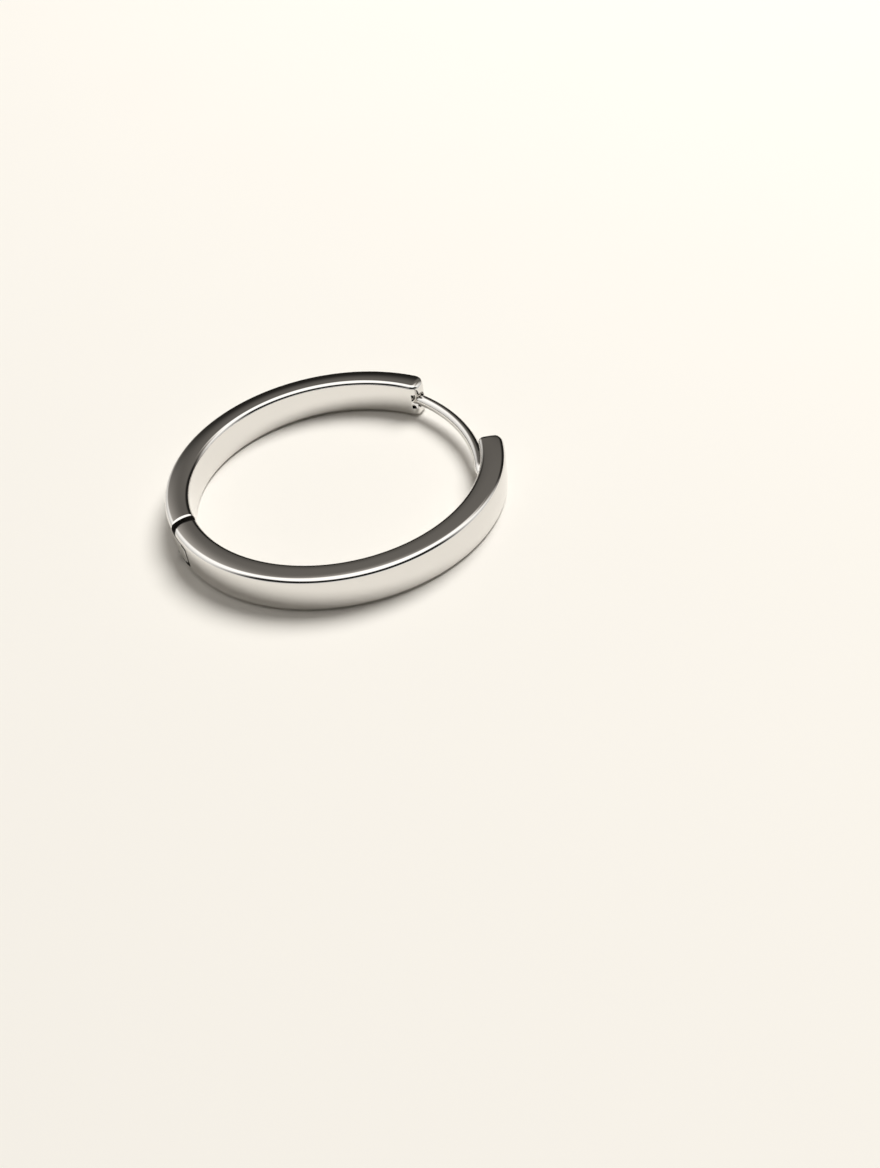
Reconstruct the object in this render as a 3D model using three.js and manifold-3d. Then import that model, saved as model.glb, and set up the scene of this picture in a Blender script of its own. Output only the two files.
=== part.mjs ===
// Hinged hoop earring lying on its side: two polished bars of rounded rectangular section,
// a fork and knuckle hinge with a hidden pin, and a curved ear post soldered across the gap.
// Millimetres, +Z up. The origin is the hoop's centre on the plane of its underside.
// Angles are in degrees, anticlockwise from +X as seen from above.
import * as THREE from "three";
import { mergeVertices } from "three/addons/utils/BufferGeometryUtils.js";
import Module from "manifold-3d";

const wasm = await Module();
wasm.setup();

// Driving dimensions: the hoop
const OUTER_DIAMETER = 25;
const BAR_THICKNESS = 1.85;
const BAR_WIDTH = 2.8;
const EDGE_RADIUS = 0.35;
const FRONT_END_ANGLE = 5;
const BACK_END_ANGLE = 51.3;
const END_TOP_RADIUS = 0.5;
const END_OUTER_RADIUS = 1;
const END_INNER_RADIUS = 0.6;

// Driving dimensions: the hinge
const HINGE_ANGLE = 206.8;
const PIN_WALL = 0.28;
const EAR_CROWN = 0.2;
const SHOULDER_GAP = 0.6;
const KNUCKLE_SHORTFALL = 0.1;
const KNUCKLE_WIDTH = 1.7;
const KNUCKLE_CORNER = 0.45;
const KNUCKLE_SIDE_GAP = 0.1;
const KNUCKLE_END_GAP = 0.11;
const PIN_DIAMETER = 0.7;
const PIN_RUNNING_CLEARANCE = 0.05;
const PIN_SEAT_CLEARANCE = 0.03;
const EAR_SKIN = 0.2;

// Driving dimensions: the ear post, soldered into the front bar's inner wall, and its notch
const POST_DIAMETER = 0.86;
const POST_SEAT = 0.3;
const POST_FOOT_LENGTH = 3;
const POST_FOOT_TAPER = 1.1;
const POST_TIP_DEPTH = 0.57;
const POST_TIP_REACH = 0.33;
const NOTCH_CLEARANCE = 0.2;
const NOTCH_DEPTH = 0.45;

// Fineness of the facets
const ARC_STEP = 3;
const CORNER_STEPS = 4;
const END_STEPS = 6;
const WIRE_SIDES = 16;
const ROUND_SIDES = 48;
const PIN_SIDES = 24;
const FINEST_TIP = 0.03;
const WIDEST_CORNER_SHARE = 0.45;

// Sizes that follow from the driving dimensions
const outerRadius = OUTER_DIAMETER / 2;
const innerRadius = outerRadius - BAR_THICKNESS;
const middleRadius = outerRadius - BAR_THICKNESS / 2;
const middleHeight = BAR_WIDTH / 2;
const endLength = Math.max(END_TOP_RADIUS, END_OUTER_RADIUS, END_INNER_RADIUS);
const pinHoleRadius = PIN_DIAMETER / 2 + PIN_RUNNING_CLEARANCE;
const pinCircleRadius = innerRadius + PIN_WALL + pinHoleRadius;
const earRadius = outerRadius - pinCircleRadius + EAR_CROWN;
const shoulderRadius = earRadius + SHOULDER_GAP;
const knuckleRadius = earRadius - KNUCKLE_SHORTFALL;
const slotRadius = knuckleRadius + KNUCKLE_END_GAP;
const slotWidth = KNUCKLE_WIDTH + 2 * KNUCKLE_SIDE_GAP;
const pinHoleDepth = BAR_WIDTH - 2 * EAR_SKIN;
const pinLength = pinHoleDepth - 2 * PIN_SEAT_CLEARANCE;
const postRadius = POST_DIAMETER / 2;
const notchRadius = postRadius + NOTCH_CLEARANCE;
const cutMargin = BAR_THICKNESS;
const hingeBlockSize = 2 * slotRadius + cutMargin;

const radians = THREE.MathUtils.degToRad;

// A closed solid from a three.js geometry whose shared vertices are merged
function solidOf(geometry) {
  const bare = geometry.index ? geometry.clone() : geometry;
  for (const extra of ["normal", "uv"]) {
    bare.deleteAttribute(extra);
  }
  const merged = mergeVertices(bare, 1e-5);
  const kept = [];
  const index = merged.index.array;
  for (let i = 0; i < index.length; i += 3) {
    const [a, b, c] = [index[i], index[i + 1], index[i + 2]];
    if (a !== b && b !== c && c !== a) {
      kept.push(a, b, c);
    }
  }
  const vertProperties = new Float32Array(merged.attributes.position.array);
  const triVerts = new Uint32Array(kept);
  return new wasm.Manifold(new wasm.Mesh({ numProp: 3, vertProperties, triVerts }));
}

// A closed solid lofted through rings of points, which all have the same number of points
function loft(rings) {
  const sides = rings[0].length;
  const points = rings.flat();
  const triangles = [];
  for (let r = 0; r + 1 < rings.length; r += 1) {
    for (let s = 0; s < sides; s += 1) {
      const next = (s + 1) % sides;
      const [a, b] = [r * sides + s, r * sides + next];
      triangles.push(a, b, b + sides, a, b + sides, a + sides);
    }
  }
  const last = (rings.length - 1) * sides;
  for (let s = 1; s + 1 < sides; s += 1) {
    triangles.push(0, s + 1, s);
    triangles.push(last, last + s, last + s + 1);
  }
  const geometry = new THREE.BufferGeometry().setFromPoints(points);
  geometry.setIndex(triangles);
  return solidOf(geometry);
}

// How far a round edge of the given radius stands back, at a distance from the end plane
function standBack(radius, distance) {
  if (distance >= radius) {
    return 0;
  }
  return radius - Math.sqrt(radius ** 2 - (radius - distance) ** 2);
}

// The bar's section at an angle round the hoop, drawn in to suit its distance from a free end
function barSection(angle, distance) {
  const low = innerRadius + standBack(END_INNER_RADIUS, distance);
  const high = outerRadius - standBack(END_OUTER_RADIUS, distance);
  const side = standBack(END_TOP_RADIUS, distance);
  const corner = Math.min(EDGE_RADIUS, WIDEST_CORNER_SHARE * (high - low));
  const corners = [
    [high - corner, BAR_WIDTH - side - corner, 0],
    [low + corner, BAR_WIDTH - side - corner, 90],
    [low + corner, side + corner, 180],
    [high - corner, side + corner, 270],
  ];
  const turn = radians(angle);
  const ring = [];
  for (const [across, height, start] of corners) {
    for (let step = 0; step <= CORNER_STEPS; step += 1) {
      const sweep = radians(start + (90 * step) / CORNER_STEPS);
      const radius = across + corner * Math.cos(sweep);
      const z = height + corner * Math.sin(sweep);
      ring.push(new THREE.Vector3(radius * Math.cos(turn), radius * Math.sin(turn), z));
    }
  }
  return ring;
}

// A bar from its free end to a plain end that the hinge cuts away. Its sense is 1 where the
// angle grows from the free end to the hinge, and -1 where it falls.
function bar(freeEnd, hingeEnd, sense) {
  const rings = [];
  for (let step = 0; step < END_STEPS; step += 1) {
    const distance = endLength * (1 - Math.cos(radians((90 * step) / END_STEPS)));
    const turned = THREE.MathUtils.radToDeg(distance / middleRadius);
    rings.push(barSection(freeEnd + sense * turned, distance));
  }
  const start = freeEnd + (sense * THREE.MathUtils.radToDeg(endLength)) / middleRadius;
  const steps = Math.ceil(Math.abs(hingeEnd - start) / ARC_STEP);
  for (let step = 0; step <= steps; step += 1) {
    rings.push(barSection(start + ((hingeEnd - start) * step) / steps, endLength));
  }
  return loft(sense > 0 ? rings.reverse() : rings);
}

// Sets a geometry made about the pin's axis, with +X away from the hoop's centre, at the hinge
function atHinge(geometry) {
  geometry.translate(pinCircleRadius, 0, 0);
  geometry.rotateZ(radians(HINGE_ANGLE));
  return solidOf(geometry);
}

// An outline drawn about the pin's axis and extruded between two heights
function hingePrism(shape, bottom, top) {
  const depth = top - bottom;
  const options = { depth, bevelEnabled: false, curveSegments: ROUND_SIDES / 2 };
  return atHinge(new THREE.ExtrudeGeometry(shape, options).translate(0, 0, bottom));
}

// A round pin or hole on the hinge's axis, centred in the bar's width
function hingeRound(radius, length, sides) {
  const geometry = new THREE.CylinderGeometry(radius, radius, length, sides);
  geometry.rotateX(Math.PI / 2).translate(0, 0, middleHeight);
  return atHinge(geometry);
}

// A disc with round rim corners on the hinge's axis, joined to a block that runs to the back half
function knuckleForm(radius, width, corner) {
  const half = width / 2;
  const profile = [new THREE.Vector2(0, -half)];
  for (const [height, start] of [[corner - half, -90], [half - corner, 0]]) {
    for (let step = 0; step <= CORNER_STEPS; step += 1) {
      const sweep = radians(start + (90 * step) / CORNER_STEPS);
      const across = radius - corner + corner * Math.cos(sweep);
      profile.push(new THREE.Vector2(across, height + corner * Math.sin(sweep)));
    }
  }
  profile.push(new THREE.Vector2(0, half));
  const disc = new THREE.LatheGeometry(profile, ROUND_SIDES);
  disc.rotateX(Math.PI / 2).translate(0, 0, middleHeight);
  const block = new THREE.BoxGeometry(hingeBlockSize, hingeBlockSize, width);
  block.translate(0, -hingeBlockSize / 2, middleHeight);
  return atHinge(disc).add(atHinge(block));
}

// What is cut off the front bar so that its ears end round about the pin
function earEndCut() {
  const reach = hingeBlockSize;
  const shape = new THREE.Shape();
  shape.moveTo(-reach, 0);
  shape.lineTo(-reach, -reach);
  shape.lineTo(reach, -reach);
  shape.lineTo(reach, 0);
  shape.lineTo(earRadius, 0);
  shape.absarc(0, 0, earRadius, 0, -Math.PI, true);
  return hingePrism(shape, -cutMargin, BAR_WIDTH + cutMargin);
}

// What is cut off the back bar: all that lies past the pin, and hollow shoulders about the pin
function shoulderCut() {
  const reach = hingeBlockSize;
  const shape = new THREE.Shape();
  shape.moveTo(reach, 0);
  shape.lineTo(reach, reach);
  shape.lineTo(-reach, reach);
  shape.lineTo(-reach, 0);
  shape.lineTo(-shoulderRadius, 0);
  shape.absarc(0, 0, shoulderRadius, Math.PI, 2 * Math.PI, false);
  return hingePrism(shape, -cutMargin, BAR_WIDTH + cutMargin);
}

// The arc of the ear post's centre line: it leaves the front bar square to the end plane, partly
// sunk in the inner wall, and crosses the back bar's end plane at the depth of its tip
function postArc() {
  const start = radians(FRONT_END_ANGLE);
  const backTurn = radians(BACK_END_ANGLE);
  const outward = new THREE.Vector2(Math.cos(start), Math.sin(start));
  const from = outward.clone().multiplyScalar(innerRadius + POST_SEAT - postRadius);
  const to = new THREE.Vector2(Math.cos(backTurn), Math.sin(backTurn));
  to.multiplyScalar(innerRadius + POST_TIP_DEPTH);
  const chord = to.clone().sub(from);
  const radius = -chord.lengthSq() / (2 * chord.dot(outward));
  const centre = from.clone().addScaledVector(outward, -radius);
  const end = to.clone().sub(centre).angle();
  return { radius, centre, start, end };
}

// Distances from the tip and wire radii over a rounded end of the given length, tip last
function roundedEnd(length) {
  const stations = [];
  for (let step = 1; step <= CORNER_STEPS; step += 1) {
    const sweep = radians((90 * step) / CORNER_STEPS);
    stations.push([length * (1 - Math.sin(sweep)), Math.max(postRadius * Math.cos(sweep), FINEST_TIP)]);
  }
  return stations;
}

// The ear post: a round wire bent to its arc, with a long taper at the foot and a round tip
function earPost() {
  const arc = postArc();
  const first = arc.start - POST_FOOT_LENGTH / arc.radius;
  const last = arc.end + POST_TIP_REACH / arc.radius;
  const footEnd = first + POST_FOOT_TAPER / arc.radius;
  const tipStart = last - postRadius / arc.radius;
  const stations = roundedEnd(POST_FOOT_TAPER).map(([away, r]) => [first + away / arc.radius, r]);
  stations.reverse();
  const steps = Math.ceil(THREE.MathUtils.radToDeg(tipStart - footEnd) / ARC_STEP);
  for (let step = 0; step <= steps; step += 1) {
    stations.push([footEnd + ((tipStart - footEnd) * step) / steps, postRadius]);
  }
  for (const [away, r] of roundedEnd(postRadius)) {
    stations.push([last - away / arc.radius, r]);
  }
  const rings = stations.map(([turn, radius]) => {
    const ring = [];
    for (let side = 0; side < WIRE_SIDES; side += 1) {
      const sweep = (2 * Math.PI * side) / WIRE_SIDES;
      const across = arc.radius + radius * Math.cos(sweep);
      const x = arc.centre.x + across * Math.cos(turn);
      const y = arc.centre.y + across * Math.sin(turn);
      ring.push(new THREE.Vector3(x, y, middleHeight + radius * Math.sin(sweep)));
    }
    return ring;
  });
  return loft(rings.reverse());
}

// The notch in the back bar's end: a slot with a round floor, open to the end and the inner wall
function notch() {
  const centreRadius = innerRadius + POST_TIP_DEPTH;
  const openTo = innerRadius - cutMargin;
  const shape = new THREE.Shape();
  shape.moveTo(openTo, -notchRadius);
  shape.lineTo(centreRadius, -notchRadius);
  shape.absarc(centreRadius, 0, notchRadius, -Math.PI / 2, Math.PI / 2, false);
  shape.lineTo(openTo, notchRadius);
  const options = {
    depth: NOTCH_DEPTH + cutMargin,
    bevelEnabled: false,
    curveSegments: ROUND_SIDES / 4,
  };
  const geometry = new THREE.ExtrudeGeometry(shape, options);
  geometry.rotateX(Math.PI / 2).translate(0, NOTCH_DEPTH, middleHeight);
  geometry.rotateZ(radians(BACK_END_ANGLE));
  return solidOf(geometry);
}

// The front bar with the ends of its two ears, the slot between them and the soldered ear post
function frontHalf() {
  const hingeCutAngle = THREE.MathUtils.radToDeg((2 * earRadius) / middleRadius);
  const length = bar(360 + FRONT_END_ANGLE, HINGE_ANGLE - hingeCutAngle, -1);
  const slot = knuckleForm(slotRadius, slotWidth, KNUCKLE_CORNER + KNUCKLE_END_GAP);
  const pinHole = hingeRound(PIN_DIAMETER / 2 + PIN_SEAT_CLEARANCE, pinHoleDepth, PIN_SIDES);
  return length.subtract(earEndCut()).subtract(slot).subtract(pinHole).add(earPost());
}

// The back bar with its hollow shoulders, its knuckle and the notch for the post's tip
function backHalf() {
  const hingeCutAngle = THREE.MathUtils.radToDeg((2 * slotRadius) / middleRadius);
  const length = bar(BACK_END_ANGLE, HINGE_ANGLE + hingeCutAngle, 1);
  const knuckle = knuckleForm(knuckleRadius, KNUCKLE_WIDTH, KNUCKLE_CORNER);
  const pinHole = hingeRound(pinHoleRadius, BAR_WIDTH, PIN_SIDES);
  return length.subtract(shoulderCut().subtract(knuckle)).subtract(pinHole).subtract(notch());
}

function hingePin() {
  return hingeRound(PIN_DIAMETER / 2, pinLength, PIN_SIDES);
}

// A named mesh of polished metal from a solid
function metalMesh(name, solid, colour, roughness) {
  const { vertProperties, triVerts } = solid.getMesh();
  const geometry = new THREE.BufferGeometry();
  geometry.setAttribute("position", new THREE.BufferAttribute(vertProperties, 3));
  geometry.setIndex(new THREE.BufferAttribute(triVerts, 1));
  geometry.computeVertexNormals();
  const material = new THREE.MeshStandardMaterial({ color: colour, metalness: 1, roughness });
  const mesh = new THREE.Mesh(geometry, material);
  mesh.name = name;
  return mesh;
}

const hoopEarring = new THREE.Group();
hoopEarring.add(metalMesh("front_half", frontHalf(), 0xdcd9d3, 0.06));
hoopEarring.add(metalMesh("back_half", backHalf(), 0xdcd9d3, 0.06));
hoopEarring.add(metalMesh("hinge_pin", hingePin(), 0xcfccc6, 0.2));

export default hoopEarring;
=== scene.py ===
"""Hinged hoop earring in polished silver, lying on its side on a pale studio floor."""
import math

import bmesh
import bpy
from mathutils import Matrix, Vector


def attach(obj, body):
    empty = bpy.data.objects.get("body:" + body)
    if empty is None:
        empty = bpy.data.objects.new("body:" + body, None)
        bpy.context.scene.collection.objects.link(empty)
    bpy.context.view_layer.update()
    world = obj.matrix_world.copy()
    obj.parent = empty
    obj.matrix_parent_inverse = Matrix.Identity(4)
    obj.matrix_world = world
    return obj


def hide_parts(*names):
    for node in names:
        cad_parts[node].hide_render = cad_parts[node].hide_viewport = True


MM = 0.001

# Camera: degrees and millimetres
CAMERA_PLACE = Vector((6.30, -76.78, 58.64))
CAMERA_ELEVATION = 41.90
CAMERA_ROLL = 8.89
CAMERA_LENS = 40.07
SENSOR_SIZE = 36
NEAR_CLIP = 5

# The hoop and its bars, millimetres and degrees anticlockwise from +X
OUTER_RADIUS = 12.5
BAR_THICKNESS = 1.85
BAR_WIDTH = 2.8
EDGE_RADIUS = 0.35
FLAT_CROWN = 0.018
FRONT_END_ANGLE = 5
BACK_END_ANGLE = 51.3
END_TOP_RADIUS = 0.5
END_OUTER_RADIUS = 1.0
END_INNER_RADIUS = 0.6

# The hinge
HINGE_ANGLE = 206.8
PIN_WALL = 0.28
PIN_DIAMETER = 0.7
PIN_RUNNING_CLEARANCE = 0.05
PIN_SEAT_CLEARANCE = 0.03
EAR_SKIN = 0.2
EAR_CROWN = 0.2
SHOULDER_GAP = 0.6
KNUCKLE_SHORTFALL = 0.1
KNUCKLE_WIDTH = 1.7
KNUCKLE_CORNER = 0.45
KNUCKLE_SIDE_GAP = 0.1
KNUCKLE_END_GAP = 0.11
# Just open enough for the knuckle's edges to swing past
SLOT_CORNER = 0.32

# The ear post and its notch
POST_DIAMETER = 0.86
POST_SEAT = 0.3
POST_FOOT_LENGTH = 3.0
POST_FOOT_TAPER = 1.1
POST_TIP_DEPTH = 0.57
POST_TIP_REACH = 0.33
POST_POINT_SHARE = 0.06
NOTCH_CLEARANCE = 0.2
NOTCH_DEPTH = 0.45

# Polishing: the broken edges of the fork and the lips of the shoulders
EDGE_BREAK = 0.09
EDGE_BREAK_STEPS = 4
EDGE_BREAK_ANGLE = 35
LIP_WIDTH = 0.14
LIP_DEPTH = 0.0875
SMOOTH_ANGLE = 28
FLAT_WEIGHT = 60

# How fine the surfaces are made
CORNER_STEPS = 10
FLAT_CUTS = 7
END_STEPS = 14
ARC_DEGREES = 1.25
WIRE_SIDES = 40
WIRE_DEGREES = 1.5
ROUND_SIDES = 128
WELD = 0.0005

# How near, in millimetres, a place has to be to count as the one looked for
SECTION_TOLERANCE = 0.01
PLANE_TOLERANCE = 0.001
LEVEL_TOLERANCE = 0.0001
# A flat of the section is longer than this share of the shorter flat
FLAT_SHARE = 0.9
# The upward share of a normal: below the first on a wall, above the second on a level face
WALL_TILT = 0.1
LEVEL_TILT = 0.99

# Cutters: wide enough and tall enough to pass through the bar
CUTTER_LENGTH = 6.0
CUTTER_HEIGHT = 2 * BAR_WIDTH
TALL_CUTTER_HEIGHT = 3 * BAR_WIDTH

# Metal: colours, and noise scales in cycles per metre
SILVER_COLOUR = (0.80, 0.785, 0.765)
SILVER_ROUGHNESS = 0.045
HAZE_SCALE = 420.0
HAZE_ROUGHNESS = (0.6, 0.8)
HAZE_SHADE = 0.97
WIPING_SCALE = 900.0
WIPING_TURN = (0.3, 0.2, 0.7)
WIPING_STRETCH = (1.0, 14.0, 3.0)
WIPING_STRENGTH = 0.02
WIPING_HEIGHT = 0.02
SCRATCH_LEVELS = (0.62, 0.72)
SCRATCH_ROUGHNESS = 0.035
# The hinge's hidden faces: dull unpolished metal, its near-black tone painted shade for the gaps
SKIN_PAINTED_SHADE_DARK = (0.05, 0.047, 0.043)
SKIN_PAINTED_SHADE_LIGHT = (0.11, 0.105, 0.097)
SKIN_SCALE = 2500.0
SKIN_ROUGHNESS = (0.35, 0.3)
PIN_LIGHT = (0.72, 0.71, 0.7)
PIN_DARK = (0.62, 0.61, 0.6)
PIN_RING_SCALE = 700.0
PIN_RING_STRETCH = (1.0, 1.0, 30.0)
PIN_ROUGHNESS = (0.2, 0.2)

# The floor, metres
FLOOR_SIZE = 3.0
FLOOR_COLOUR = (0.90, 0.875, 0.83)
FLOOR_SHADE = 0.985
FLOOR_CLOUD_SCALE = 30.0
FLOOR_ROUGHNESS = 0.9
FLOOR_GLOSS = 0.1

# The studio as the metal sees it: a pale dome, a dark panel with a darker core behind the hoop
# and a dark panel before it. Each pair of degrees says where a panel ends and where it is full
DOME_LOW = 0.75
DOME_RISE = 0.65
DOME_HEIGHTS = (0.1, 0.9)
DIFFUSE_SHARE = 0.3
BACKDROP_BRIGHTNESS = 0.9
STUDIO_WHITE = (1.0, 0.985, 0.955)
PANEL_TINT = (1.0, 0.93, 0.84)
BOUNCE_TINT = (1.0, 0.95, 0.875)
FAR_PANEL_AZIMUTH = 20
FAR_PANEL_SIDES = (57, 30)
FAR_PANEL_TOP = (60, 44)
FAR_PANEL_SHADE = 0.125
FAR_CORE_SIDES = (55, 30)
FAR_CORE_TOP = (38, 28)
FAR_CORE_SHADE = 0.15
NEAR_PANEL_SIDES = (95, 60)
NEAR_PANEL_TOP = (60, 48)
NEAR_PANEL_FOOT = (6, 14)
NEAR_PANEL_SHADE = 0.02

# The lamp, metres and watts
KEY_PLACE = Vector((0.33, 0.30, 0.70))
KEY_SIZE = 0.54
KEY_POWER = 7.5
KEY_COLOUR = (1.0, 0.99, 0.965)

# Sockets that are asked for by number
GENERATED_OUTPUT = 0
OBJECT_OUTPUT = 3
CAMERA_RAY_OUTPUT = 0
DIFFUSE_RAY_OUTPUT = 2
MIXED_COLOUR_OUTPUT = 2

inner_radius = OUTER_RADIUS - BAR_THICKNESS
middle_radius = OUTER_RADIUS - BAR_THICKNESS / 2
middle_height = BAR_WIDTH / 2
end_length = max(END_TOP_RADIUS, END_OUTER_RADIUS, END_INNER_RADIUS)
pin_hole_radius = PIN_DIAMETER / 2 + PIN_RUNNING_CLEARANCE
pin_circle_radius = inner_radius + PIN_WALL + pin_hole_radius
ear_radius = OUTER_RADIUS - pin_circle_radius + EAR_CROWN
shoulder_radius = ear_radius + SHOULDER_GAP
knuckle_radius = ear_radius - KNUCKLE_SHORTFALL
slot_radius = knuckle_radius + KNUCKLE_END_GAP
post_radius = POST_DIAMETER / 2
notch_radius = post_radius + NOTCH_CLEARANCE


class Socket:
    """An output socket whose arithmetic adds Math nodes"""

    def __init__(self, tree, link):
        self.tree, self.link = tree, link

    def math(self, operation, other=None, swap=False):
        values = [self] if other is None else [self, other]
        if swap:
            values.reverse()
        settings = {"operation": operation}
        return add_node(self.tree, "ShaderNodeMath", settings, dict(enumerate(values)))

    def __add__(self, other):
        return self.math("ADD", other)

    __radd__ = __add__

    def __rsub__(self, other):
        return self.math("SUBTRACT", other, swap=True)

    def __sub__(self, other):
        return self.math("SUBTRACT", other)

    def __mul__(self, other):
        return self.math("MULTIPLY", other)

    __rmul__ = __mul__


def set_inputs(tree, node, inputs):
    """Gives a node's inputs their values or links"""
    for name, value in inputs.items():
        if isinstance(value, Socket):
            tree.links.new(value.link, node.inputs[name])
        else:
            node.inputs[name].default_value = value


def add_node(tree, kind, settings=None, inputs=None, output=0):
    """Any shader node: its settings first, then the values or links of its sockets"""
    made = tree.nodes.new(kind)
    for name, value in (settings or {}).items():
        setattr(made, name, value)
    set_inputs(tree, made, inputs or {})
    return Socket(tree, made.outputs[output])


def deselect_everything():
    for thing in bpy.context.selected_objects:
        thing.select_set(False)


def take_up(thing):
    """Makes this the one selected and active object"""
    deselect_everything()
    bpy.context.view_layer.objects.active = thing
    thing.select_set(True)


def begin_edit(select="VERT"):
    bpy.ops.object.mode_set(mode="EDIT")
    bpy.ops.mesh.select_mode(type=select)


def end_edit():
    bpy.ops.object.mode_set(mode="OBJECT")


def begin_edit_of_all(select="VERT"):
    begin_edit(select)
    bpy.ops.mesh.select_all(action="SELECT")


def bake_placing():
    """Moves the active object's place, turn and scale into its mesh"""
    bpy.ops.object.transform_apply(location=True, rotation=True, scale=True)


def direction(turn):
    """The unit vector at a turn in radians"""
    return Vector((math.cos(turn), math.sin(turn), 0))


def polar(radius, angle, height=0.0):
    """A place in metres from millimetres and degrees"""
    turn = math.radians(angle)
    return Vector((radius * math.cos(turn), radius * math.sin(turn), height)) * MM


def stand_back(radius, distance):
    """How far a round edge stands back at a distance from the end plane, in millimetres"""
    if distance >= radius:
        return 0.0
    return radius - math.sqrt(radius**2 - (radius - distance) ** 2)


def select_vertices(thing, wanted):
    """Selects, in edit mode, the vertices whose place passes the test"""
    form = bmesh.from_edit_mesh(thing.data)
    for vertex in form.verts:
        vertex.select = wanted(vertex.co / MM)
    form.select_flush_mode()
    bmesh.update_edit_mesh(thing.data)


def select_parts(thing, kind, wanted):
    """Selects, in edit mode, only the edges or faces that pass the test"""
    bpy.ops.mesh.select_all(action="DESELECT")
    form = bmesh.from_edit_mesh(thing.data)
    for part in getattr(form, kind):
        part.select = wanted(part)
    bmesh.update_edit_mesh(thing.data)


def section_face(name):
    """The bar's section as one face at angle 0: a rectangle with round corners and crowned flats"""
    deselect_everything()
    bpy.ops.mesh.primitive_plane_add(
        size=1,
        location=(middle_radius * MM, 0, middle_height * MM),
        rotation=(math.pi / 2, 0, 0),
    )
    face = bpy.context.object
    face.name = face.data.name = name
    sides = (BAR_THICKNESS - 2 * FLAT_CROWN, BAR_WIDTH - 2 * FLAT_CROWN)
    face.scale = (sides[0] * MM, sides[1] * MM, 1)
    bake_placing()
    begin_edit_of_all()
    bpy.ops.mesh.bevel(offset=EDGE_RADIUS * MM, segments=CORNER_STEPS, affect="VERTICES")
    half = [side / 2 - EDGE_RADIUS for side in sides]
    shortest = 2 * min(half) * FLAT_SHARE
    bpy.ops.mesh.select_mode(type="EDGE")
    form = bmesh.from_edit_mesh(face.data)
    for edge in form.edges:
        edge.select = edge.calc_length() / MM > shortest
    bmesh.update_edit_mesh(face.data)
    bpy.ops.mesh.subdivide(number_cuts=FLAT_CUTS)
    bpy.ops.mesh.select_mode(type="VERT")
    crown_flats(face, half)
    end_edit()
    return face


def crown_flats(face, half):
    """Lifts the middle of each flat a little, as hand polishing leaves it"""
    centre = (middle_radius, 0, middle_height)
    for axis, reach, side, size in ((0, half[0], 2, BAR_WIDTH), (2, half[1], 0, BAR_THICKNESS)):
        limit = size / 2 - FLAT_CROWN
        for step in range(1, FLAT_CUTS + 1):
            place = centre[axis] + reach * (2 * step / (FLAT_CUTS + 1) - 1)
            rise = FLAT_CROWN * (1 - ((place - centre[axis]) / reach) ** 2)
            for sign in (-1, 1):
                level = centre[side] + sign * limit
                select_vertices(
                    face,
                    lambda c: abs(c[axis] - place) < SECTION_TOLERANCE
                    and abs(c[side] - level) < SECTION_TOLERANCE,
                )
                shift = [0, 0, 0]
                shift[side] = sign * rise * MM
                bpy.ops.transform.translate(value=shift)


def pillowed_end(face, sense):
    """Draws the section in for the free end's face, then grows it back over the end's rounding"""
    begin_edit_of_all("FACE")
    stations = []
    for step in range(END_STEPS + 1):
        distance = end_length * (1 - math.cos(math.pi / 2 * step / END_STEPS))
        low = inner_radius + stand_back(END_INNER_RADIUS, distance)
        high = OUTER_RADIUS - stand_back(END_OUTER_RADIUS, distance)
        tall = BAR_WIDTH - 2 * stand_back(END_TOP_RADIUS, distance)
        stations.append((distance, low, high, tall))
    before = (end_length, inner_radius, OUTER_RADIUS, BAR_WIDTH)
    for step, now in enumerate(stations):
        if step:
            bpy.ops.mesh.extrude_region_move(TRANSFORM_OT_translate={"value": (0, 0, 0)})
        forward = sense * (now[0] - before[0])
        sideways = (now[1] + now[2] - before[1] - before[2]) / 2
        bpy.ops.transform.translate(value=(sideways * MM, forward * MM, 0))
        grow = ((now[2] - now[1]) / (before[2] - before[1]), 1, now[3] / before[3])
        level = sense * (now[0] - end_length)
        centre = ((now[1] + now[2]) / 2 * MM, level * MM, middle_height * MM)
        bpy.ops.transform.resize(value=grow, center_override=centre)
        before = now
    end_edit()


def sweep(angle, degrees=ARC_DEGREES, centre=(0, 0, 0)):
    """Spins the selected section anticlockwise round a vertical axis, in edit mode"""
    steps = max(1, math.ceil(abs(angle) / degrees))
    bpy.ops.mesh.spin(steps=steps, angle=math.radians(-angle), center=centre, axis=(0, 0, 1))


def clean_shell(thing):
    """Merges doubles and points all faces outwards"""
    begin_edit_of_all()
    bpy.ops.mesh.remove_doubles(threshold=WELD * MM)
    bpy.ops.mesh.normals_make_consistent(inside=False)
    end_edit()


def bar(name, free_end, hinge_end):
    """A bar of the hoop from its pillowed free end to an angle past the hinge"""
    sense = 1 if hinge_end > free_end else -1
    face = section_face(name)
    pillowed_end(face, sense)
    begin_edit("FACE")
    select_parts(
        face, "faces", lambda f: all(abs(v.co.y / MM) < PLANE_TOLERANCE for v in f.verts)
    )
    end_turn = sense * math.degrees(end_length / middle_radius)
    sweep(hinge_end - free_end - end_turn)
    end_edit()
    clean_shell(face)
    face.rotation_euler = (0, 0, math.radians(free_end + end_turn))
    bake_placing()
    face.data.materials.append(silver)
    return face


def cut(thing, tool, operation="DIFFERENCE"):
    """Applies a boolean and removes the tool"""
    take_up(thing)
    step = thing.modifiers.new("cut", "BOOLEAN")
    step.operation = operation
    step.solver = "EXACT"
    step.material_mode = "TRANSFER"
    step.object = tool
    bpy.ops.object.modifier_apply(modifier=step.name)
    bpy.data.objects.remove(tool)


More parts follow.
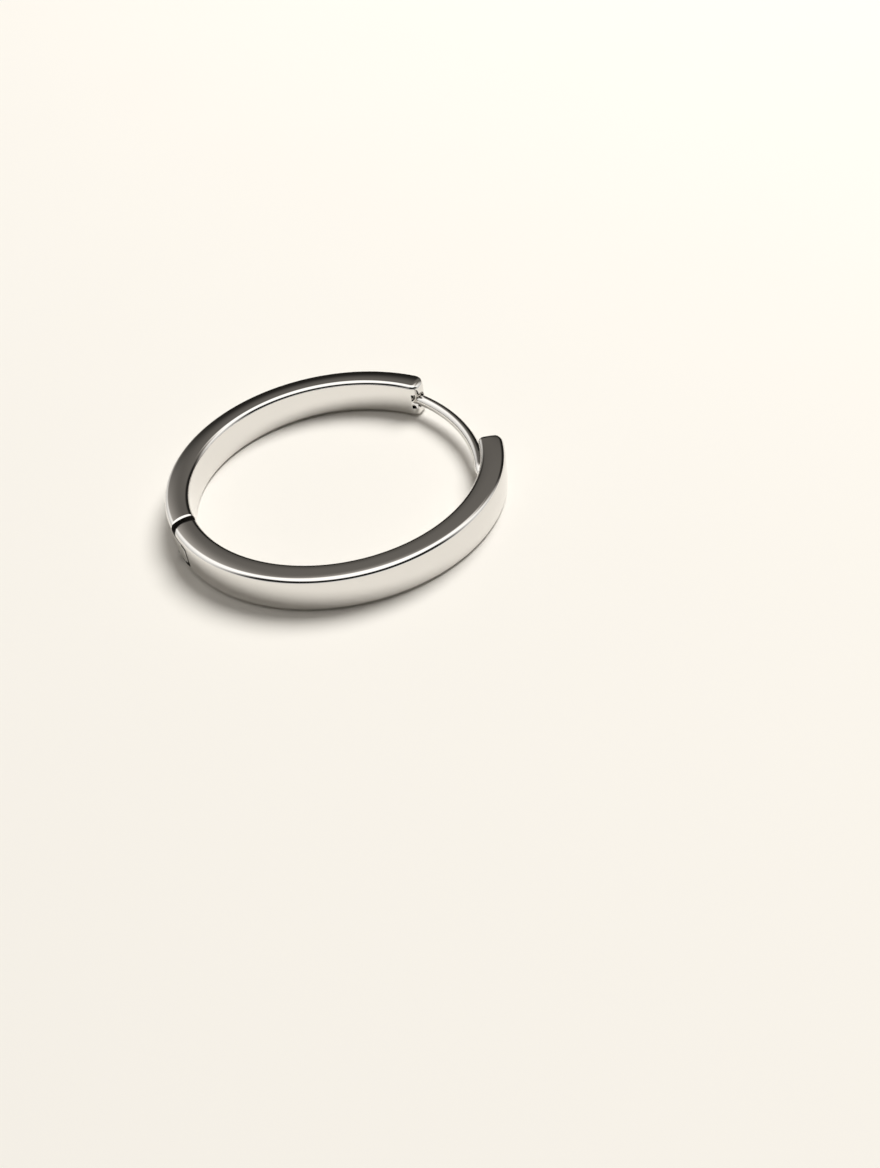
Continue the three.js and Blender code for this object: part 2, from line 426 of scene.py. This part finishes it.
def disc(radius, width, corner=0.0):
    """A cylinder on the pin's axis, centred in the bar's width, with round rims where asked"""
    deselect_everything()
    bpy.ops.mesh.primitive_cylinder_add(
        vertices=ROUND_SIDES, radius=radius * MM, depth=width * MM, location=pin_axis()
    )
    made = bpy.context.object
    bake_placing()
    if corner:
        begin_edit("EDGE")
        select_parts(
            made,
            "edges",
            lambda e: abs(e.verts[0].co.z - e.verts[1].co.z) < LEVEL_TOLERANCE * MM,
        )
        bpy.ops.mesh.bevel(offset=corner * MM, segments=CORNER_STEPS, affect="EDGES")
        end_edit()
    return made


def hinge_block(width, height, along):
    """A box across the bar that begins at the pin's axis and runs towards the front or back"""
    deselect_everything()
    bpy.ops.mesh.primitive_cube_add(
        size=1, location=pin_axis(along / 2), rotation=(0, 0, math.radians(HINGE_ANGLE))
    )
    made = bpy.context.object
    made.scale = [length * MM for length in (width, abs(along), height)]
    bake_placing()
    return made


def pin_axis(along=0.0):
    """The pin's place at mid height, moved along the bar towards the front half"""
    tangent = polar(along, HINGE_ANGLE + 90)
    return polar(pin_circle_radius, HINGE_ANGLE, middle_height) + tangent


def leave_unpolished_painted_shade(tool):
    """What this tool cuts keeps the dull skin that the polishing wheel can't reach, near black as
    painted shade in the hinge's gaps
    """
    tool.data.materials.clear()
    tool.data.materials.append(dull_skin_painted_shade)


def flared_disc(radius):
    """A disc that opens outwards at both sides of the bar, for a round cut with polished lips"""
    form = disc(radius, BAR_WIDTH - 2 * LIP_DEPTH)
    grow = 1 + 2 * LIP_WIDTH / radius
    for sense in (1, -1):
        begin_edit("FACE")
        select_parts(form, "faces", lambda f: f.normal.z * sense > LEVEL_TILT)
        rise = (0, 0, sense * 2 * LIP_DEPTH * MM)
        bpy.ops.mesh.extrude_region_move(TRANSFORM_OT_translate={"value": rise})
        bpy.ops.transform.resize(value=(grow, grow, 1), center_override=pin_axis())
        end_edit()
    # The cut's walls get the unpolished skin, dark as painted shade; the lips stay silver
    leave_unpolished_painted_shade(form)
    form.data.materials.append(silver)
    for face in form.data.polygons:
        face.material_index = int(WALL_TILT < abs(face.normal.z) < LEVEL_TILT)
    return form


def knuckle_form(radius, width, corner):
    """A disc on the pin's axis joined to a block that runs to the back half, left unpolished and
    near black as painted shade
    """
    form = disc(radius, width, corner)
    cut(form, hinge_block(2 * radius, width, -CUTTER_LENGTH), "UNION")
    leave_unpolished_painted_shade(form)
    return form


def break_edges(thing):
    """Rounds each sharp edge that the cutters left, as a polishing wheel does"""
    take_up(thing)
    step = thing.modifiers.new("edges", "BEVEL")
    step.width = EDGE_BREAK * MM
    step.segments = EDGE_BREAK_STEPS
    step.limit_method = "ANGLE"
    step.angle_limit = math.radians(EDGE_BREAK_ANGLE)
    step.use_clamp_overlap = True
    bpy.ops.object.modifier_apply(modifier=step.name)


def smooth_finish(thing):
    """Smooth shading with flat faces kept flat"""
    take_up(thing)
    bpy.ops.object.shade_smooth_by_angle(angle=math.radians(SMOOTH_ANGLE))
    step = thing.modifiers.new("flats", "WEIGHTED_NORMAL")
    step.keep_sharp = True
    step.weight = FLAT_WEIGHT
    bpy.ops.object.modifier_apply(modifier=step.name)


def model_ear_post():
    """The bent wire: its foot tapers into the front bar's inner wall, and its tip is round"""
    start = math.radians(FRONT_END_ANGLE)
    outward = direction(start)
    begin = outward * (inner_radius + POST_SEAT - post_radius)
    finish = polar(inner_radius + POST_TIP_DEPTH, BACK_END_ANGLE) / MM
    chord = finish - begin
    radius = -chord.length_squared / (2 * chord.dot(outward))
    centre = begin - outward * radius
    to_finish = finish - centre
    last = math.atan2(to_finish.y, to_finish.x) + POST_TIP_REACH / radius
    first = start - POST_FOOT_LENGTH / radius
    stations = []
    for step in range(END_STEPS + 1):
        turn = math.pi / 2 * step / END_STEPS
        away = POST_FOOT_TAPER * (1 - math.cos(turn))
        stations.append((first + away / radius, max(math.sin(turn), POST_POINT_SHARE)))
    for step in range(END_STEPS + 1):
        turn = math.pi / 2 * (1 - step / END_STEPS)
        away = post_radius * (1 - math.cos(turn))
        stations.append((last - away / radius, max(math.sin(turn), POST_POINT_SHARE)))
    lift = Vector((0, 0, middle_height * MM))
    deselect_everything()
    bpy.ops.mesh.primitive_circle_add(
        vertices=WIRE_SIDES,
        radius=post_radius * stations[0][1] * MM,
        fill_type="NGON",
        location=(centre + direction(first) * radius) * MM + lift,
        rotation=(math.pi / 2, 0, first),
    )
    post = bpy.context.object
    post.name = post.data.name = "ear_post"
    bake_placing()
    begin_edit_of_all("FACE")
    before = stations[0]
    for now in stations[1:]:
        sweep(math.degrees(now[0] - before[0]), WIRE_DEGREES, centre * MM)
        middle = (centre + direction(now[0]) * radius) * MM + lift
        factor = now[1] / before[1]
        bpy.ops.transform.resize(value=(factor, factor, factor), center_override=middle)
        before = now
    end_edit()
    clean_shell(post)
    return post


def model_front_half():
    """The front bar: two ears round about the pin, the slot between them, and the soldered post"""
    past = math.degrees(2 * ear_radius / middle_radius)
    front = bar("front_bar", 360 + FRONT_END_ANGLE, HINGE_ANGLE - past)
    beyond = hinge_block(CUTTER_LENGTH, CUTTER_HEIGHT, -CUTTER_LENGTH)
    cut(beyond, disc(ear_radius, TALL_CUTTER_HEIGHT))
    cut(front, beyond)
    # The slot's walls take the dark skin: painted shade between the ears
    cut(front, knuckle_form(slot_radius, KNUCKLE_WIDTH + 2 * KNUCKLE_SIDE_GAP, SLOT_CORNER))
    break_edges(front)
    cut(front, disc(PIN_DIAMETER / 2 + PIN_SEAT_CLEARANCE, BAR_WIDTH - 2 * EAR_SKIN))
    cut(front, model_ear_post(), "UNION")
    smooth_finish(front)
    return front


def notch_form():
    """The slot for the post's tip: a round floor, open to the end and to the inner wall"""
    centre = polar(inner_radius + POST_TIP_DEPTH, BACK_END_ANGLE, middle_height)
    outward = polar(1, BACK_END_ANGLE) / MM
    deselect_everything()
    bpy.ops.mesh.primitive_cylinder_add(
        vertices=ROUND_SIDES // 2,
        radius=notch_radius * MM,
        depth=2 * NOTCH_DEPTH * MM,
        location=centre,
        rotation=(math.pi / 2, 0, math.radians(BACK_END_ANGLE)),
    )
    form = bpy.context.object
    bake_placing()
    begin_edit()
    select_vertices(form, lambda c: (c - centre / MM).dot(outward) < -SECTION_TOLERANCE)
    bpy.ops.transform.translate(value=-outward * BAR_THICKNESS * MM)
    end_edit()
    return form


def model_back_half():
    """The back bar: hollow shoulders about the ears, the knuckle and the notched free end"""
    past = math.degrees(2 * slot_radius / middle_radius)
    back = bar("back_bar", BACK_END_ANGLE, HINGE_ANGLE + past)
    beyond = hinge_block(CUTTER_LENGTH, CUTTER_HEIGHT, CUTTER_LENGTH)
    # The shoulders' hollow walls get the dark skin: painted shade for the hinge gap
    leave_unpolished_painted_shade(beyond)
    cut(beyond, flared_disc(shoulder_radius), "UNION")
    cut(beyond, knuckle_form(knuckle_radius, KNUCKLE_WIDTH, KNUCKLE_CORNER))
    cut(back, beyond)
    cut(back, notch_form())
    cut(back, disc(pin_hole_radius, CUTTER_HEIGHT))
    smooth_finish(back)
    return back


def new_finish(name):
    """An empty material, its node tree and its shader"""
    finish = bpy.data.materials.new(name)
    finish.use_nodes = True
    return finish, finish.node_tree, finish.node_tree.nodes["Principled BSDF"]


def noise(tree, scale, detail, stretch=None, turn=(0.0, 0.0, 0.0)):
    """Noise fixed to the object, turned and stretched where asked"""
    place = add_node(tree, "ShaderNodeTexCoord", output=OBJECT_OUTPUT)
    if stretch:
        inputs = {"Vector": place, "Rotation": turn, "Scale": stretch}
        place = add_node(tree, "ShaderNodeMapping", None, inputs)
    inputs = {"Vector": place, "Scale": scale, "Detail": detail}
    return add_node(tree, "ShaderNodeTexNoise", None, inputs)


def blend(tree, first, second, share):
    """A colour between two colours or sockets, by the second's share"""
    ends = [end if isinstance(end, Socket) else (*end, 1) for end in (first, second)]
    inputs = {"Factor": share, "A": ends[0], "B": ends[1]}
    settings = {"data_type": "RGBA"}
    return add_node(tree, "ShaderNodeMix", settings, inputs, MIXED_COLOUR_OUTPUT)


def step_between(tree, value, nothing_at, all_at, interpolation="SMOOTHSTEP"):
    """0 at one value and 1 at the other"""
    return add_node(
        tree,
        "ShaderNodeMapRange",
        {"interpolation_type": interpolation},
        {"Value": value, "From Min": nothing_at, "From Max": all_at, "To Min": 0.0, "To Max": 1.0},
    )


def shaded(colour, share):
    return [channel * share for channel in colour]


def polished_silver():
    """Mirror polish with faint wiping marks, a slight haze and the odd fine scratch"""
    finish, tree, shader = new_finish("polished_silver")
    haze = noise(tree, HAZE_SCALE, 4.0)
    wiping = noise(tree, WIPING_SCALE, 5.0, WIPING_STRETCH, WIPING_TURN)
    scratches = step_between(tree, wiping, *SCRATCH_LEVELS, "LINEAR")
    least, spread = HAZE_ROUGHNESS
    rough = SILVER_ROUGHNESS * (least + spread * haze) + SCRATCH_ROUGHNESS * scratches
    relief = {"Strength": WIPING_STRENGTH, "Distance": WIPING_HEIGHT * MM, "Height": wiping}
    set_inputs(
        tree,
        shader,
        {
            "Base Color": blend(tree, SILVER_COLOUR, shaded(SILVER_COLOUR, HAZE_SHADE), haze),
            "Roughness": rough,
            "Normal": add_node(tree, "ShaderNodeBump", None, relief),
            "Metallic": 1.0,
        },
    )
    return finish


def noisy_metal(name, pattern_of, colours, roughness):
    """A duller metal whose colour and roughness follow one noise"""
    finish, tree, shader = new_finish(name)
    pattern = pattern_of(tree)
    least, spread = roughness
    inputs = {
        "Base Color": blend(tree, *colours, pattern),
        "Roughness": least + spread * pattern,
        "Metallic": 1.0,
    }
    set_inputs(tree, shader, inputs)
    return finish


def unpolished_skin_painted_shade():
    """Silver as it comes from the file: dull and lightly scored, its near-black tone painted shade
    for the hinge's gaps
    """
    return noisy_metal(
        "unpolished_silver_painted_shade",
        lambda tree: noise(tree, SKIN_SCALE, 4.0),
        (SKIN_PAINTED_SHADE_DARK, SKIN_PAINTED_SHADE_LIGHT),
        SKIN_ROUGHNESS,
    )


def turned_steel():
    """The hidden pin's plain turned finish"""
    return noisy_metal(
        "turned_pin",
        lambda tree: noise(tree, PIN_RING_SCALE, 3.0, PIN_RING_STRETCH),
        (PIN_LIGHT, PIN_DARK),
        PIN_ROUGHNESS,
    )


def pale_floor():
    """A plain matt floor with the faintest unevenness"""
    deselect_everything()
    bpy.ops.mesh.primitive_plane_add(size=FLOOR_SIZE, location=(0, 0, 0))
    floor = bpy.context.object
    floor.name = floor.data.name = "studio_floor"
    finish, tree, shader = new_finish("matt_floor")
    cloud = noise(tree, FLOOR_CLOUD_SCALE, 2.0)
    inputs = {
        "Base Color": blend(tree, FLOOR_COLOUR, shaded(FLOOR_COLOUR, FLOOR_SHADE), cloud),
        "Roughness": FLOOR_ROUGHNESS,
        "Specular IOR Level": FLOOR_GLOSS,
    }
    set_inputs(tree, shader, inputs)
    floor.data.materials.append(finish)


def bearing_step(tree, bearing, degrees):
    """0 beyond the first bearing, 1 within the second"""
    return step_between(tree, bearing, *[math.radians(angle) for angle in degrees])


def height_step(tree, height, degrees):
    """0 at the first elevation and 1 at the second"""
    return step_between(tree, height, *[math.sin(math.radians(angle)) for angle in degrees])


def dimmed(light, shade, where):
    """Light brought down to a share where a mask is 1"""
    return light * (1 - (1 - shade) * where)


def studio_dome():
    """The room as the metal sees it, by direction alone"""
    world = bpy.data.worlds.new("studio_dome")
    bpy.context.scene.world = world
    world.use_nodes = True
    tree = world.node_tree
    view = add_node(tree, "ShaderNodeTexCoord", output=GENERATED_OUTPUT)
    split = tree.nodes.new("ShaderNodeSeparateXYZ")
    tree.links.new(view.link, split.inputs[0])
    along_x, along_y, height = [Socket(tree, output) for output in split.outputs]
    turn = math.radians(FAR_PANEL_AZIMUTH)
    sideways = along_x * math.cos(turn) - along_y * math.sin(turn)
    ahead = along_x * math.sin(turn) + along_y * math.cos(turn)
    far_bearing = sideways.math("ARCTAN2", ahead).math("ABSOLUTE")
    near_bearing = along_x.math("ARCTAN2", along_y * -1).math("ABSOLUTE")
    far = bearing_step(tree, far_bearing, FAR_PANEL_SIDES)
    far = far * height_step(tree, height, FAR_PANEL_TOP)
    core = bearing_step(tree, far_bearing, FAR_CORE_SIDES)
    core = core * height_step(tree, height, FAR_CORE_TOP)
    near = bearing_step(tree, near_bearing, NEAR_PANEL_SIDES)
    near = near * height_step(tree, height, NEAR_PANEL_TOP)
    near = near * height_step(tree, height, NEAR_PANEL_FOOT)
    light = DOME_LOW + DOME_RISE * step_between(tree, height, *DOME_HEIGHTS)
    light = dimmed(light, FAR_PANEL_SHADE, far)
    light = dimmed(light, FAR_CORE_SHADE, core)
    light = dimmed(light, NEAR_PANEL_SHADE, near)
    seen = add_node(tree, "ShaderNodeLightPath", output=CAMERA_RAY_OUTPUT)
    scattered = add_node(tree, "ShaderNodeLightPath", output=DIFFUSE_RAY_OUTPUT)
    light = dimmed(light, DIFFUSE_SHARE, scattered)
    tint = blend(tree, STUDIO_WHITE, PANEL_TINT, far)
    inputs = {
        "Strength": light * (1 - seen) + BACKDROP_BRIGHTNESS * seen,
        "Color": blend(tree, tint, BOUNCE_TINT, scattered),
    }
    set_inputs(tree, tree.nodes["Background"], inputs)


def key_light():
    """A large soft light above, behind and to the right"""
    bpy.ops.object.light_add(type="AREA", location=KEY_PLACE)
    lamp = bpy.context.object
    lamp.name = "soft_key"
    lamp.data.shape = "DISK"
    lamp.data.size = KEY_SIZE
    lamp.data.energy = KEY_POWER
    lamp.data.color = KEY_COLOUR
    lamp.visible_glossy = False
    lamp.rotation_euler = (-KEY_PLACE).to_track_quat("-Z", "Y").to_euler()


def camera():
    """The photograph's viewpoint"""
    bpy.ops.object.camera_add(location=CAMERA_PLACE * MM)
    eye = bpy.context.object
    tilt = math.radians(90 - CAMERA_ELEVATION)
    roll = math.radians(-CAMERA_ROLL)
    turned = Matrix.Rotation(tilt, 3, "X") @ Matrix.Rotation(roll, 3, "Z")
    eye.rotation_euler = turned.to_euler("XYZ")
    eye.data.lens = CAMERA_LENS
    eye.data.sensor_width = SENSOR_SIZE
    eye.data.sensor_fit = "AUTO"
    eye.data.clip_start = NEAR_CLIP * MM
    eye.data.dof.use_dof = False
    bpy.context.scene.camera = eye


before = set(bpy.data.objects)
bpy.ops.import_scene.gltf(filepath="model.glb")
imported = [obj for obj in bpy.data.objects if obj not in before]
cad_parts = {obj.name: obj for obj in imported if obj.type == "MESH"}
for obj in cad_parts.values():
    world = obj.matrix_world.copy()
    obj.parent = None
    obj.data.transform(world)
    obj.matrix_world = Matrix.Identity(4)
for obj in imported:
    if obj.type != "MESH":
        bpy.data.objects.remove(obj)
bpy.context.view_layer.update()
deselect_everything()
bpy.context.scene.view_settings.view_transform = "Standard"

camera()
silver = polished_silver()
# Dull unpolished skin, near black as painted shade for the hinge's gaps
dull_skin_painted_shade = unpolished_skin_painted_shade()

front_bar = model_front_half()
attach(front_bar, "front")
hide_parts("front_half")

back_bar = model_back_half()
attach(back_bar, "back")
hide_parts("back_half")

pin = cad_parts["hinge_pin"]
pin.data.materials.clear()
pin.data.materials.append(turned_steel())

pale_floor()
studio_dome()
key_light()
